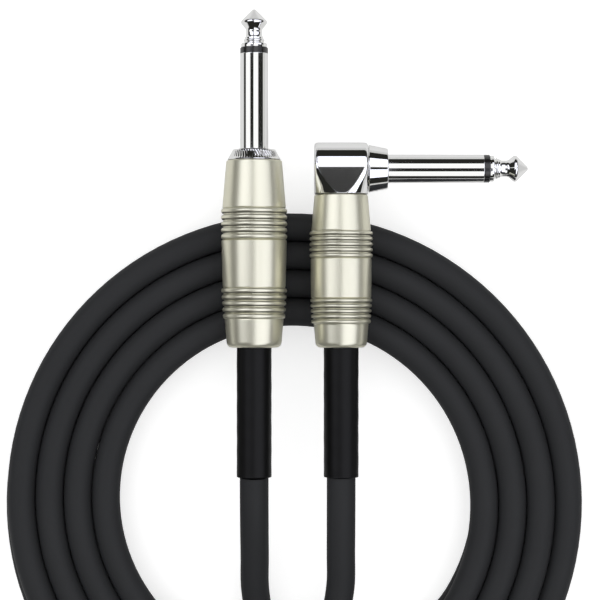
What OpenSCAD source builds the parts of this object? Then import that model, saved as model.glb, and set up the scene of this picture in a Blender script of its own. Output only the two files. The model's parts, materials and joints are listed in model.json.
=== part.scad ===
// Instrument cable: a straight jack plug and a right-angle jack plug on the ends of one coiled cable.
// Millimetres, +Z up. The origin is on the table, under the coil and midway between the two plugs.
// The coil lies on the table, and the plugs lie on the coil with their barrels' rear ends towards -Y.
// Each barrel unscrews from its plug, turning about its own axis as it backs off along -Y.

/* [Cable] */
// Diameter of the cable's jacket
cable_d = 6.5; // [6.3:0.1:6.5]
// Radius of the widest turn, along the middle of the cable
coil_r = 65.3; // [64.8:0.1:65.8]
// Rings of the coil's tube in one turn
coil_rings = 24; // [24:24:48]
// Sides of each lead's tube
lead_sides = 10; // [8:2:12]

/* [Places] */
// Height of the straight plug's axis above the table
straight_z = 20.6; // [20.6:0.1:22]
// Distance of the straight plug's axis from the middle, towards -X
straight_x = 9.2; // [8:0.1:12]
// How far the straight plug's shaft starts in front of the origin
straight_y = 25.8; // [24:0.1:28]
// Height of the right-angle plug's axes above the table
angle_z = 20.3; // [20.3:0.1:22]
// Distance of the right-angle plug's barrel axis from the middle, towards +X
angle_x = 10.4; // [10:0.1:13]
// How far the right-angle plug's shaft axis is in front of the origin
angle_y = 21.5; // [20:0.1:24]

/* [Jacks] */
// Diameter of each jack's shaft
shaft_d = 6.35; // [6.3:0.01:6.4]
// Length from the shoulder to the insulating ring behind the tip
shaft_l = 21.6; // [21:0.1:22]
// Length of the insulating ring
ring_l = 1.3; // [1:0.1:1.5]
// Length from the shoulder to the very tip
jack_l = 31.6; // [31.2:0.1:32]
// Widest diameter of the tip
tip_d = 5.96; // [5.8:0.01:6.1]
// Narrowest diameter of the tip's neck
neck_d = 3.8; // [3.6:0.1:4]
// Diameter of the rod that joins the tip to its solder lug
rod_d = 2; // [1.8:0.1:2.2]

/* [Straight barrel] */
// Length of the straight plug's barrel
straight_barrel_l = 42.1; // [42:0.1:44]
// Diameters at the front edge, before the first ribs, and at both ends of the plain band
straight_front_d = [12.6, 14.3, 14.7, 14.15]; // [12:0.05:15]
// Diameters at the start and the end of the tail
straight_tail_d = [13.2, 12.4]; // [12:0.1:14]
// Distance of each rib group's first crest from the front edge
straight_rib_at = [11.4, 29.3]; // [10:0.1:32]
// Distance between the crests in each rib group
straight_rib_pitch = [1.45, 1.43]; // [1.3:0.01:1.5]
// Diameters over the first and last crest of the first rib group
straight_crest_a_d = [14.9, 14.9]; // [14:0.1:16]
// Diameters over the first and last crest of the second rib group
straight_crest_b_d = [14.8, 14.1]; // [13:0.1:16]

/* [Right-angle barrel] */
// Length of the right-angle plug's barrel
angle_barrel_l = 34.4; // [34:0.1:36]
// Diameters at the front edge, before the first ribs, and at both ends of the plain band
angle_front_d = [12.1, 13.4, 13.7, 13.6]; // [12:0.05:15]
// Diameters at the start and the end of the tail
angle_tail_d = [12.3, 11.6]; // [11:0.1:14]
// Distance of each rib group's first crest from the front edge
angle_rib_at = [8.7, 23.8]; // [8:0.1:26]
// Distance between the crests in each rib group
angle_rib_pitch = [1.25, 1.18]; // [1.1:0.01:1.4]
// Diameters over the first and last crest of the first rib group
angle_crest_a_d = [14.25, 14.25]; // [13:0.05:15]
// Diameters over the first and last crest of the second rib group
angle_crest_b_d = [13.95, 13.45]; // [13:0.05:15]

/* [Ribs] */
// Number of ribs in a group
rib_count = 5; // [3:1:5]
// Depth of the grooves between the ribs
rib_depth = 0.35; // [0.2:0.05:0.5]

/* [Right-angle head] */
// Width of the head along the jack
head_w = 12.1; // [12:0.1:12.6]
// Thickness of the head, which is also the diameter of its arched top
head_t = 11.8; // [11.6:0.1:12]
// Distance from the jack's axis down to the barrel
head_drop = 5.8; // [5.6:0.1:6]
// Radius of the head's rounded edges
head_edge_r = 0.7; // [0.5:0.1:0.9]

/* [Fits] */
// Pitch of the barrel threads
thread_pitch = 0.75; // [0.5:0.25:1]
// Running clearance round the threads and the liners
running_gap = 0.06; // [0.04:0.01:0.09]
// Gap between parts that sit against each other without moving
seat_gap = 0.03; // [0.02:0.01:0.05]
// Diameter of the heat-shrink sleeves
sleeve_d = 7.9; // [7.7:0.1:8]

/* [Hidden] */
$fn = 64;

cable_r = cable_d / 2;
shaft_r = shaft_d / 2;
rod_r = rod_d / 2;
bush_r = 1.87;
bush_bore_r = rod_r + seat_gap;
shaft_bore_r = bush_r + seat_gap;
sleeve_bore_r = cable_r + 0.05;
eps = 0.01;

// Straight plug: distances along its axis from the shoulder, positive towards the tip
collar_l = 2.4;
collar_lip = 0.25;
collar_front_r = 4.88;
collar_rear_r = 6;
straight_thread_r = 5;
straight_thread_end = -7.5;
straight_barrel_front = -collar_l - 0.1;
straight_cavity_end = -38.1;
straight_sleeve_end = -73.8;
straight_sleeve_front = -37;
straight_jacket_end = -26;
straight_liner_front = -7.7;

// Right-angle plug: distances along the jack from the barrel's axis
angle_shoulder = 10.5;
angle_collar_start = head_w / 2 + 0.15;
angle_collar_r = [5.36, 4.5];
stub_r = 4;
stub_end = 3;

// Right-angle plug: distances along the barrel from the jack's axis, negative towards the cable
angle_thread_r = 4.9;
angle_thread_end = -head_drop - 5;
angle_barrel_front = -head_drop - 0.1;
angle_cavity_end = -33.1;
angle_sleeve_end = -69.5;
angle_sleeve_front = -32;
angle_jacket_end = -22;
angle_liner_front = angle_thread_end - 0.2;
head_cone_r = [6.35, 8.3];
head_cavity_r = 3.4;
head_cavity_top = 2.6;

// Pieces inside both barrels
thread_depth = 0.4;
rear_bore_r = sleeve_d / 2 + 0.2;
liner_wall = 0.48;
lug_t = 0.57;
lug_w = 4;
tongue_w = 3;
tongue_x = 1.7;
clamp_l = 5;
clamp_back = 2;
clamp_open_a = 100;
core_r = 1.3;
core_l = 4;
wire_r = 0.45;
wire_l = 6.5;
shield_wire_r = 0.6;
solder_r = 1.1;
shield_solder_r = 1;
shield_l = 5.6;
shield_lean = 6;
rivet_r = 1.6;
rivet_l = 0.6;
rivet_edge = 0.3;
stack_gap = 2 * seat_gap;
washer_top = -lug_t - seat_gap - stack_gap;
washer_l = 0.96;
tip_lug_top = washer_top - washer_l - stack_gap;
rivet_top = tip_lug_top - lug_t - stack_gap;
tongue_t = 0.5;
tongue_from = 7;
straight_ground_r = 4.3;
angle_ground_r = 4.2;
angle_ground_bore_r = 3;
straight_washer_r = 3.1;
straight_lug_r = 2.6;
angle_lug_r = 2;
angle_washer_end = 2.16;
angle_lug_face = 1.6;

// Jack tip behind the point: radii, and distances from the insulating ring
base_r = 2.95;
base_edge = 0.15;
base_round = 0.3;
base_l = 1.1;
waist_r = 2.3;
bead_round = 0.25;
neck_at = 3.25;
neck_round = 1.3;
brow_at = 5.75;
brow_round = 0.45;
point_r = 0.7;

// Coil: winding angles are counted from the place where the spiral turns back and climbs a layer
turn_back_a = -30;
lower_wind = 1095;
upper_wind = 1335;
wound_at_origin = 630 + turn_back_a;

// The coil's section is a six-sided one with its lowest corner cut flat
flat_cut = cable_d / 10;
lower_z = cable_r - flat_cut;
upper_z = lower_z + cable_d;
climb_a = 180;
ring_step = 360 / coil_rings;
run_out = cable_d;
leave_a = 15;
close_by = 1.3 * cable_d;
coil_x = -1.6;
coil_y = cable_d * wound_at_origin / 360 - coil_r;

// Routes of the two leads between the sleeves and the coil, at the height of the cable's middle
straight_route = [
    [-9.2, -56, 19.4], [-9.2, -66, 14.6], [-9.1, -76, 8.7], [-7, -85, 4.6],
    [-1.1, -91.4, 3.3], [8.2, -94.5, 3.3], [17.9, -93, 3.3]
];
angle_route = [
    [10.4, -56, 19.8], [10.4, -65, 17.6], [10.3, -74, 14.8], [8.2, -82.7, 12.2],
    [2.1, -89.2, 10.6], [-6.3, -91.8, 9.9], [-15.3, -90.8, 9.8]
];

// ---- Shared functions ----

function unit(v) = v / norm(v);
function smooth(t) = let (c = min(max(t, 0), 1)) c * c * (3 - 2 * c);
function blend(a, b, t) = a + (b - a) * t;

// Points on an arc from angle a to angle b
function arc(x, y, r, a, b, steps) = [for (i = [0:steps]) let (t = blend(a, b, i / steps))
    [x + r * cos(t), y + r * sin(t)]];

// The same outline with its two columns swapped, so that a list of [distance, radius] can be revolved
function swapped(points) = [for (p = points) [p[1], p[0]]];

// ---- Shared shapes ----

// A closed tube through rings of points, all with the same number of points
module skin(rings) {
    n = len(rings[0]);
    last = len(rings) - 1;
    points = [for (ring = rings) each ring];
    sides = [for (i = [0:last - 1]) for (k = [0:n - 1]) let (a = i * n + k, b = i * n + (k + 1) % n)
        each [[a, b, a + n], [b, b + n, a + n]]];
    caps = [for (k = [1:n - 2]) each [[0, k + 1, k], [last * n, last * n + k, last * n + k + 1]]];
    polyhedron(points, concat(sides, caps));
}

// A straight piece of tube along Z, from z0 up to z1
module pipe(outer_r, inner_r, z0, z1) {
    difference() {
        translate([0, 0, z0]) cylinder(r = outer_r, h = z1 - z0);
        translate([0, 0, z0 - 1]) cylinder(r = inner_r, h = z1 - z0 + 2);
    }
}

module rod(r, z0, z1) {
    translate([0, 0, z0]) cylinder(r = r, h = z1 - z0);
}

// Local Z is the straight plug's axis, from the cable to the tip, with 0 at the shoulder
module on_straight() {
    translate([-straight_x, straight_y, straight_z]) rotate([-90, 0, 0]) children();
}

// Local Z is the right-angle plug's barrel axis, with 0 at the height of the jack
module on_angle_barrel() {
    translate([angle_x, angle_y, angle_z]) rotate([-90, 0, 0]) children();
}

// Local Z is the right-angle plug's jack axis, with 0 on the barrel's axis
module on_angle_jack() {
    translate([angle_x, angle_y, angle_z]) rotate([0, 90, 0]) children();
}

// ---- Jack pieces, revolved about Z ----

// Tip, neck and base, the rod behind them and the rivet head that holds the solder lug
module jack_tip(shoulder, rod_end) {
    base = shoulder + shaft_l + ring_l + seat_gap;
    top = shoulder + jack_l;
    rotate_extrude() polygon(concat(
        [[0, rod_end - rivet_l], [rivet_r - rivet_edge, rod_end - rivet_l]],
        [[rivet_r, rod_end - rivet_edge], [rivet_r, rod_end], [rod_r, rod_end]],
        [[rod_r, base], [base_r - base_edge, base], [base_r, base + base_edge]],
        arc(base_r - base_round, base + base_l - base_round, base_round, 0, 90, 4),
        [[waist_r, base + base_l], [waist_r, base + base_l + 0.2]],
        arc(waist_r + 0.15, base + base_l + 0.5, bead_round, -60, 75, 4),
        arc(neck_d / 2 + neck_round, base + neck_at, neck_round, 230, 130, 6),
        arc(tip_d / 2 - brow_round, base + brow_at, brow_round, -50, 48, 5),
        arc(0, top - point_r, point_r, 48, 90, 4)
    ));
}

// Insulating ring behind the tip, with the bush that lines the shaft down to bush_end
module jack_insulator(shoulder, bush_end) {
    ring = shoulder + shaft_l + seat_gap;
    difference() {
        union() {
            rod(shaft_r, ring, ring + ring_l - seat_gap);
            rod(bush_r, bush_end, ring + eps);
        }
        rod(bush_bore_r, bush_end - 1, ring + ring_l + 1);
    }
}

// Outline of ridges round a screwed part, from z0 down to z1, with the crests at radius r
function thread_outline(r, z0, z1) = let (turns = floor((z0 - z1) / thread_pitch)) [
    for (i = [0:turns - 1]) let (z = z0 - i * thread_pitch)
        each [[r - thread_depth, z], [r, z - thread_pitch * 0.4], [r, z - thread_pitch * 0.6],
            [r - thread_depth, z - thread_pitch]]
];

// ---- Barrels ----

// Five rounded ribs as [distance from the front, radius]
function rib_group(at, pitch, crest_d) = [
    for (i = [0:rib_count - 1])
        let (crest = blend(crest_d[0], crest_d[1], i / (rib_count - 1)) / 2, x = at + i * pitch)
            for (j = [0:6]) let (a = 180 - 30 * j)
                [x + 0.44 * pitch * cos(a), crest - rib_depth * (1 - sin(a))]
];

// Outside of a barrel as [distance from the front, radius]
function barrel_outside(l, front_d, tail_d, rib_at, rib_pitch, crest_a, crest_b, edge_r, end_r) =
    let (last = (rib_count - 1) * rib_pitch + 0.6 * rib_pitch, first = 0.6 * rib_pitch) concat(
        arc(edge_r, front_d[0] / 2 - edge_r, edge_r, 180, 90, 4),
        [[rib_at[0] - first[0], front_d[1] / 2]],
        rib_group(rib_at[0], rib_pitch[0], crest_a),
        [[rib_at[0] + last[0], front_d[2] / 2], [rib_at[1] - first[1], front_d[3] / 2]],
        rib_group(rib_at[1], rib_pitch[1], crest_b),
        [[rib_at[1] + last[1], tail_d[0] / 2]],
        arc(l - end_r, tail_d[1] / 2 - end_r, end_r, 85, 0, 5)
    );

// Barrel along Z with its front edge at front, open to a cavity for the thread and the liner
module barrel(front, outside, bore_r, cavity_end, l) {
    translate([0, 0, front]) mirror([0, 0, 1]) rotate_extrude() polygon(swapped(concat(
        [[0, bore_r + 0.25]],
        outside,
        [[l, rear_bore_r + 0.2], [l - 0.2, rear_bore_r]],
        [[front - cavity_end, rear_bore_r], [front - cavity_end, bore_r], [0.25, bore_r]]
    )));
}

// Insulating tube that lines a barrel's cavity and turns freely in it
module liner(thread_r, cavity_end, front) {
    pipe(thread_r - 0.03, thread_r - liner_wall, cavity_end + 0.1, front);
}

// ---- Pieces at the cable's end, along Z towards the jack ----

// Ring on the plug's body, a strip back along the cable and a clamp bent round the jacket
module ground_lug(ring_top, ring_r, hole_r, jacket_end) {
    strip_r = cable_r + seat_gap;
    strip_end = jacket_end - clamp_back - clamp_l;
    clamp_r = strip_r + lug_t;
    difference() {
        rod(ring_r, ring_top - lug_t, ring_top);
        rod(hole_r, ring_top - lug_t - 1, ring_top + 1);
    }
    translate([-lug_w / 2, strip_r, strip_end]) cube([lug_w, lug_t, ring_top - strip_end - eps]);
    difference() {
        pipe(clamp_r, strip_r, strip_end, strip_end + clamp_l);
        translate([0, 0, strip_end - 1]) linear_extrude(clamp_l + 2) polygon(concat(
            [[0, 0]],
            arc(0, 0, 2 * clamp_r, 270 - clamp_open_a / 2, 270 + clamp_open_a / 2, 4)
        ));
    }
}

// Insulated core of the cable, from the cut end of the jacket
module core(jacket_end) {
    rod(core_r, jacket_end + seat_gap, jacket_end + core_l);
}

// Bare inner wire from the core to the tongue of the tip's lug, with its solder
module tip_wire(jacket_end, tongue_face) {
    start = jacket_end + core_l + 0.1;
    lean = tongue_face - seat_gap - wire_r - 0.05;
    intersection() {
        union() {
            translate([0, 0, start]) rotate([0, atan2(lean, wire_l), 0]) cylinder(r = wire_r, h = wire_l);
            translate([lean - 0.2, 0, start + wire_l - 1.6]) sphere(r = solder_r);
        }
        translate([-tongue_w, -tongue_w, start])
            cube([tongue_w + tongue_face - seat_gap, 2 * tongue_w, 2 * wire_l]);
    }
}

// Twisted screen of the cable, from the jacket's edge to the strip of the ground lug
module shield(jacket_end) {
    intersection() {
        union() {
            translate([0, cable_r - 1, jacket_end - 1]) rotate([-shield_lean, 0, 0])
                cylinder(r = shield_wire_r, h = shield_l + 1);
            translate([0, cable_r - 0.5, jacket_end + shield_l - 1]) sphere(r = shield_solder_r);
        }
        translate([-cable_r, 0, jacket_end + seat_gap]) cube([cable_d, cable_r, 2 * shield_l]);
    }
}

// ---- Straight plug ----

module straight_tip() {
    color("#d8d8d8") on_straight() jack_tip(0, straight_thread_end + rivet_top);
}

module straight_tip_insulator() {
    color("#1c1c1c") on_straight() jack_insulator(0, straight_thread_end - lug_t);
}

// Shaft, the cone in front of the barrel and the threaded body behind it
module straight_shaft() {
    color("#cfcfcf") on_straight() rotate_extrude() polygon(concat(
        [[shaft_bore_r, straight_thread_end], [shaft_bore_r, shaft_l]],
        [[shaft_r - 0.1, shaft_l], [shaft_r, shaft_l - 0.1], [shaft_r, 0]],
        [[collar_front_r, 0], [collar_front_r, -collar_lip]],
        [[collar_rear_r, 0.15 - collar_l], [collar_rear_r - 0.05, -collar_l]],
        [[straight_thread_r - thread_depth, -collar_l]],
        thread_outline(straight_thread_r, -collar_l - 0.3, straight_thread_end),
        [[straight_thread_r - thread_depth, straight_thread_end]]
    ));
}

module straight_ground_lug() {
    color("#c9b27a") on_straight()
        ground_lug(straight_thread_end - seat_gap, straight_ground_r, bush_r + 0.15, straight_jacket_end);
}

module straight_rear_washer() {
    top = straight_thread_end + washer_top;
    color("#e4ddc8") on_straight() pipe(straight_washer_r, bush_bore_r, top - washer_l, top);
}

// Solder lug of the tip: a ring on the rod and a tongue back along the cable
module straight_tip_lug() {
    top = straight_thread_end + tip_lug_top;
    tongue_end = straight_jacket_end + tongue_from;
    color("#c9b27a") on_straight() {
        pipe(straight_lug_r, bush_bore_r, top - lug_t, top);
        translate([tongue_x, -tongue_w / 2, tongue_end]) cube([tongue_t, tongue_w, top - tongue_end - eps]);
    }
}

module straight_liner() {
    color("#5a5f66") on_straight() liner(straight_thread_r, straight_cavity_end, straight_liner_front);
}

module straight_barrel() {
    color("#cfccba") on_straight() barrel(
        straight_barrel_front,
        barrel_outside(straight_barrel_l, straight_front_d, straight_tail_d, straight_rib_at,
            straight_rib_pitch, straight_crest_a_d, straight_crest_b_d, 0.35, 1.2),
        straight_thread_r + running_gap, straight_cavity_end, straight_barrel_l
    );
}

module straight_sleeve() {
    color("#171717") on_straight()
        pipe(sleeve_d / 2, sleeve_bore_r, straight_sleeve_end, straight_sleeve_front);
}

module straight_cable_end() {
    color("#26292b") on_straight() rod(cable_r, straight_sleeve_end, straight_jacket_end);
}

module straight_core() {
    color("#e8e2d0") on_straight() core(straight_jacket_end);
}

module straight_tip_wire() {
    color("#c77b4a") on_straight() tip_wire(straight_jacket_end, tongue_x);
}

module straight_shield() {
    color("#b9785a") on_straight() shield(straight_jacket_end);
}

// ---- Right-angle plug ----

module angle_tip() {
    color("#d8d8d8") on_angle_jack() jack_tip(angle_shoulder, angle_lug_face - seat_gap);
}

module angle_tip_insulator() {
    color("#1c1c1c") on_angle_jack() jack_insulator(angle_shoulder, stub_end);
}

// Shaft, its conical collar and the stub that is pressed into the head
module angle_shaft() {
    top = angle_shoulder + shaft_l;
    color("#cfcfcf") on_angle_jack() rotate_extrude() polygon(concat(
        [[shaft_bore_r, stub_end], [shaft_bore_r, top], [shaft_r - 0.1, top], [shaft_r, top - 0.1]],
        [[shaft_r, angle_shoulder], [angle_collar_r[1] - 0.25, angle_shoulder]],
        [[angle_collar_r[1], angle_shoulder - 0.25], [angle_collar_r[0], angle_collar_start + 0.1]],
        [[angle_collar_r[0] - 0.1, angle_collar_start], [stub_r, angle_collar_start]],
        [[stub_r, stub_end]]
    ));
}

// Section of the head through the jack's axis, with rounded corners
module head_section() {
    x = head_w / 2 - head_edge_r;
    y = head_t / 2 - head_edge_r;
    square([head_w, 2 * y], center = true);
    square([2 * x, head_t], center = true);
    for (sx = [-1, 1]) for (sy = [-1, 1]) translate([sx * x, sy * y]) circle(r = head_edge_r);
}

// Block with an arched top, turned conical below, with a screwed neck for the barrel
module angle_head() {
    color("#d2d2d2") on_angle_barrel() difference() {
        union() {
            intersection() {
                union() {
                    rotate([0, 90, 0]) rotate_extrude() intersection() {
                        rotate([0, 0, 90]) head_section();
                        translate([0, -head_w]) square([head_t, 2 * head_w]);
                    }
                    translate([0, 0, -head_drop]) linear_extrude(head_drop) head_section();
                }
                translate([0, 0, -head_drop]) cylinder(
                    r1 = head_cone_r[0],
                    r2 = blend(head_cone_r[0], head_cone_r[1], (head_drop + head_t / 2 + 1) / head_drop),
                    h = head_drop + head_t / 2 + 1
                );
            }
            rotate_extrude() polygon(concat(
                [[0, angle_thread_end], [0, eps - head_drop]],
                [[angle_thread_r - thread_depth, eps - head_drop]],
                thread_outline(angle_thread_r, -head_drop - 0.3, angle_thread_end),
                [[angle_thread_r - thread_depth, angle_thread_end]]
            ));
        }
        rod(head_cavity_r, angle_thread_end - 1, head_cavity_top);
        rotate([0, 90, 0]) rod(stub_r + seat_gap, stub_end - 0.1, head_w);
    }
}

module angle_ground_lug() {
    color("#c9b27a") on_angle_barrel()
        ground_lug(angle_thread_end - seat_gap, angle_ground_r, angle_ground_bore_r, angle_jacket_end);
}

module angle_rear_washer() {
    color("#e4ddc8") on_angle_jack() pipe(rivet_r, bush_bore_r, angle_washer_end, stub_end - seat_gap);
}

// Solder lug of the tip: a ring on the rod's end and a tongue down through the neck
module angle_tip_lug() {
    tongue_end = angle_jacket_end + tongue_from;
    color("#c9b27a") on_angle_barrel() {
        rotate([0, 90, 0]) pipe(angle_lug_r, bush_bore_r, angle_lug_face, angle_lug_face + tongue_t);
        translate([angle_lug_face, -tongue_w / 2, tongue_end])
            cube([tongue_t, tongue_w, -tongue_end - bush_bore_r - 0.1]);
    }
}

module angle_liner() {
    color("#5a5f66") on_angle_barrel() liner(angle_thread_r, angle_cavity_end, angle_liner_front);
}

module angle_barrel() {
    color("#cfccba") on_angle_barrel() barrel(
        angle_barrel_front,
        barrel_outside(angle_barrel_l, angle_front_d, angle_tail_d, angle_rib_at,
            angle_rib_pitch, angle_crest_a_d, angle_crest_b_d, 0.35, 1.1),
        angle_thread_r + running_gap, angle_cavity_end, angle_barrel_l
    );
}

module angle_sleeve() {
    color("#171717") on_angle_barrel()
        pipe(sleeve_d / 2, sleeve_bore_r, angle_sleeve_end, angle_sleeve_front);
}

module angle_cable_end() {
    color("#26292b") on_angle_barrel() rod(cable_r, angle_sleeve_end, angle_jacket_end);
}

module angle_core() {
    color("#e8e2d0") on_angle_barrel() core(angle_jacket_end);
}

module angle_tip_wire() {
    color("#c77b4a") on_angle_barrel() tip_wire(angle_jacket_end, angle_lug_face);
}

module angle_shield() {
    color("#b9785a") on_angle_barrel() shield(angle_jacket_end);
}

// ---- Cable ----

// Middle of the coiled cable at winding angle a: below 0 in the lower layer, above 0 in the upper one
function coil_point(a) =
    let (r = coil_r - cable_d * abs(a) / 360, t = turn_back_a + a)
        [coil_x + r * cos(t), coil_y + r * sin(t), blend(lower_z, upper_z, smooth(0.5 + a / climb_a))];

// Level direction of the coiled cable at winding angle a, turned further by an angle
function coil_way(a, turned = 0) =
    let (d = coil_point(a + 1) - coil_point(a - 1), t = atan2(d[1], d[0]) + turned) [cos(t), sin(t), 0];

// Outline of the coiled cable's section as [outwards, up]
coil_section = let (x = cable_r * cos(30), y = cable_r * sin(30), cut = x * flat_cut / (cable_r - y)) [
    [x, -y], [x, y], [0, cable_r], [-x, y], [-x, -y], [-cut, -lower_z], [cut, -lower_z]
];

// One ring of the coil's tube about the point p, square to the way w
function coil_ring(p, w) = [for (s = coil_section) p + s[0] * [w[1], -w[0], 0] + s[1] * [0, 0, 1]];

// Both ends of the coil turn away from its innermost turns, towards the middle
coil_start_way = coil_way(-lower_wind, -leave_a);
coil_end_way = coil_way(upper_wind, leave_a);
coil_start = coil_point(-lower_wind) - run_out * coil_start_way;
coil_end = coil_point(upper_wind) + run_out * coil_end_way;

// The coil's tube, with a straight run of one diameter at each end
function coil_tube() = concat(
    [coil_ring(coil_start, coil_start_way)],
    [for (a = [-lower_wind:ring_step:upper_wind + eps])
        let (turned = a == -lower_wind ? -leave_a / 2 : a > upper_wind - eps ? leave_a / 2 : 0)
            coil_ring(coil_point(a), coil_way(a, turned))],
    [coil_ring(coil_end, coil_end_way)]
);

// Middle of one ring of the coil
function middle(ring) = (ring[0] + ring[3]) / 2;

// The same list of points or rings, each followed by the one half-way to the next
function halved(list) =
    [for (i = [0:len(list) - 1]) each [list[i], (list[i] + list[min(i + 1, len(list) - 1)]) / 2]];

// Least distance between stretches of the tube over a third of a turn apart, on points all round them
function least_gap(rings) = let (fine = halved(rings), last = len(fine) - 1) min([
    for (i = [0:last]) for (j = [i + 2 * coil_rings / 3:1:last])
        if (norm(middle(fine[i]) - middle(fine[j])) < close_by)
            for (p = halved(fine[i])) for (q = halved(fine[j])) norm(p - q)
]);

// Length of a line through points
function run(points, i = 1) =
    i < len(points) ? norm(points[i] - points[i - 1]) + run(points, i + 1) : 0;

// Middle line of each lead, from its sleeve to the coil, whose own middle line is lower by its flat
to_middle = [0, 0, flat_cut];
straight_line = concat([[-straight_x, straight_y + straight_sleeve_end, straight_z]], straight_route,
    [coil_start + to_middle]);
angle_line = concat([[angle_x, angle_y + angle_sleeve_end, angle_z]], angle_route, [coil_end + to_middle]);

// Ring i of a lead's tube, where start and end are the ways square to what its ends meet
function lead_ring(line, i, start, end) =
    let (
        last = len(line) - 1,
        w = i == 0 ? start : i == last ? end
            : unit(unit(line[i + 1] - line[i]) + unit(line[i] - line[i - 1])),
        side = unit(cross(w, [0, 0, 1])),
        up = cross(side, w)
    ) [for (k = [0:lead_sides - 1]) let (a = 90 + 360 * (k + 0.5) / lead_sides)
        line[i] + cable_r * (cos(a) * side + sin(a) * up)];

module lead(line, start, end) {
    skin([for (i = [0:len(line) - 1]) lead_ring(line, i, start, end)]);
}

module straight_lead() {
    color("#26292b") lead(straight_line, [0, -1, 0], coil_start_way);
}

module coil() {
    rings = coil_tube();
    echo(least_gap_mm = least_gap(rings));
    echo(cable_length_mm = run([for (ring = rings) middle(ring)]) + run(straight_line) + run(angle_line));
    color("#2f3032") skin(rings);
}

module angle_lead() {
    color("#26292b") lead(angle_line, [0, -1, 0], -coil_end_way);
}

straight_tip();
straight_tip_insulator();
straight_shaft();
straight_ground_lug();
straight_rear_washer();
straight_tip_lug();
straight_liner();
straight_barrel();
straight_sleeve();
straight_cable_end();
straight_core();
straight_tip_wire();
straight_shield();
angle_tip();
angle_tip_insulator();
angle_shaft();
angle_head();
angle_ground_lug();
angle_rear_washer();
angle_tip_lug();
angle_liner();
angle_barrel();
angle_sleeve();
angle_cable_end();
angle_core();
angle_tip_wire();
angle_shield();
straight_lead();
coil();
angle_lead();
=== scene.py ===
"""Instrument cable: a straight and a right-angle jack plug on one coiled cable.

Each piece is dressed round the part's CAD frame, in the places and on the bodies that the frame gives.
"""

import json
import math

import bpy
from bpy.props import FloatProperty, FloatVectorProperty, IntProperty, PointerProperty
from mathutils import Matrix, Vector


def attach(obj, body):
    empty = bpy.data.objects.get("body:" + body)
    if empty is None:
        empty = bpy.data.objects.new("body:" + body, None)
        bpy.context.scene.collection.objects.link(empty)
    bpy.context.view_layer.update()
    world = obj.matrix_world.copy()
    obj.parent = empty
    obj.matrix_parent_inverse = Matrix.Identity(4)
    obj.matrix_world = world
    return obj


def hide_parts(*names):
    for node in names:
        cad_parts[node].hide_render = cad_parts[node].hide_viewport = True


bl_info = {
    "name": "Instrument Cable",
    "version": (1, 0, 0),
    "blender": (4, 5, 0),
    "location": "3D View > Sidebar > Instrument Cable",
    "description": "Builds a coiled instrument cable with a straight and a right-angle jack plug",
    "category": "Object",
}

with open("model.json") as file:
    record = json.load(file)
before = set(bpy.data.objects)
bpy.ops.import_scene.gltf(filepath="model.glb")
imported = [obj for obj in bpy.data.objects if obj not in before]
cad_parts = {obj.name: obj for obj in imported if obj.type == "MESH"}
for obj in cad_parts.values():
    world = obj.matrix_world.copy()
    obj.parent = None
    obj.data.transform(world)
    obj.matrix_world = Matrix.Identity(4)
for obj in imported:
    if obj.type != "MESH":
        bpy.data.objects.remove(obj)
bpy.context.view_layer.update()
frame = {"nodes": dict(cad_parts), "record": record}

MM = 0.001

# Places of the plugs in the frame, in millimetres
STRAIGHT_AT = (-9.2, 25.8, 20.6)
ANGLE_AT = (10.4, 21.5, 20.3)
ON_STRAIGHT = Matrix.Translation(Vector(STRAIGHT_AT) * MM) @ Matrix.Rotation(math.radians(-90), 4, "X")
ON_ANGLE_BARREL = Matrix.Translation(Vector(ANGLE_AT) * MM) @ Matrix.Rotation(math.radians(-90), 4, "X")
ON_ANGLE_JACK = Matrix.Translation(Vector(ANGLE_AT) * MM) @ Matrix.Rotation(math.radians(90), 4, "Y")

# Distances along the straight plug from its shoulder, towards the tip
STRAIGHT_ROD_END = -9.81
STRAIGHT_BUSH_END = -8.07
STRAIGHT_THREAD_START = -2.45
STRAIGHT_THREAD_END = -7.5
STRAIGHT_BARREL_FRONT = -2.5
STRAIGHT_CAVITY_END = -38.1
STRAIGHT_SLEEVE = (-73.8, -37)

# Distances in the right-angle plug from the point where its axes cross
ANGLE_ROD_END = 1.57
ANGLE_SHOULDER = 10.5
ANGLE_COLLAR_START = 6.2
ANGLE_STUB_END = 3
ANGLE_HEAD_BOTTOM = -5.8
ANGLE_THREAD_END = -10.8
ANGLE_BARREL_FRONT = -5.9
ANGLE_CAVITY_END = -33.1
ANGLE_SLEEVE = (-69.5, -32)

# Radii inside the plugs
ROD_R = 1
BUSH_R = 1.87
BUSH_BORE_R = 1.03
SHAFT_BORE_R = 1.9
SLEEVE_BORE_R = 3.3
REAR_BORE_R = 4.15
STRAIGHT_THREAD_R = 5
ANGLE_THREAD_R = 4.9

# The knurled cone's face, as (distance, radius) of its two edges, and the flutes in it
CONE_FRONT = (-0.3, 4.93)
CONE_BACK = (-2.1, 5.92)
FLUTES = 56
FLUTE_STEPS = 8
FLUTE_DEPTH = 0.12
FLUTE_TWIST = 0.07

# The right-angle head: half its width, the radius of its arch, its cone, and its rounded edges
HEAD_SIDE = 6.05
HEAD_ARCH_R = 5.9
HEAD_CONE_R = (6.35, 8.3)
HEAD_CONE_COSINE = 0.948
HEAD_EDGES = (0.75, 0.42, 0.12)
HEAD_STEPS = 56

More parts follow.
